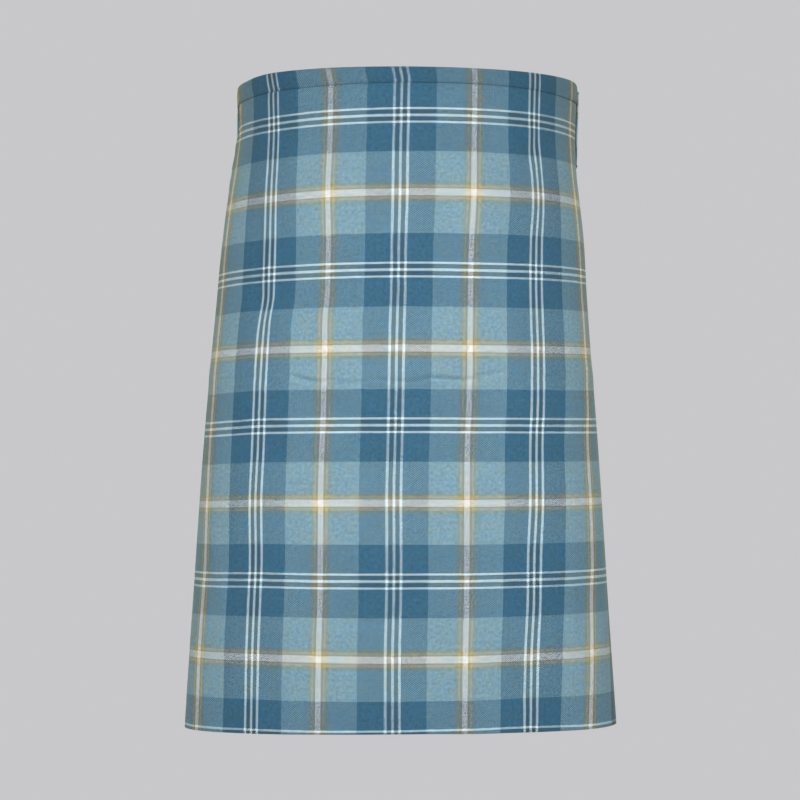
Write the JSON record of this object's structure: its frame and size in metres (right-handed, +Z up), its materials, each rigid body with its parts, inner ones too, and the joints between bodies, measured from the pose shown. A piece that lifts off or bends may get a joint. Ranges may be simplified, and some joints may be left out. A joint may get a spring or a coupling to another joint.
{
  "type": "scottish kilt",
  "caption": "Knee-length wrap kilt of checked wool: plain aprons in front, knife pleats across the back, narrow waistband, leather side strap.",
  "frame": {"origin": "centre of the waist opening, half way down the waistband", "axes": "+Z up, -Y out of the front, +X towards the wearer's left side"},
  "size_m": [0.4109, 0.3167, 0.6213],
  "materials": {
    "tartan_cloth": "soft brushed twill wool in a blue check with white and gold lines",
    "waistband_cloth": "the same wool folded and stitched flat",
    "black_leather": "smooth black strap leather",
    "buckle_metal": "polished nickel plate",
    "button_resin": "dark blue polished resin"
  },
  "bodies": {
    "root": {"over_apron": "tartan_cloth", "pleated_back": "tartan_cloth", "under_apron": "tartan_cloth", "waistband": "waistband_cloth", "belt_loop_left": "tartan_cloth", "belt_loop_right": "tartan_cloth", "side_strap": "black_leather", "buckle_tab": "black_leather", "side_buckle": "buckle_metal", "buckle_prong": "buckle_metal", "inner_button": "button_resin"}
  },
  "joints": []
}
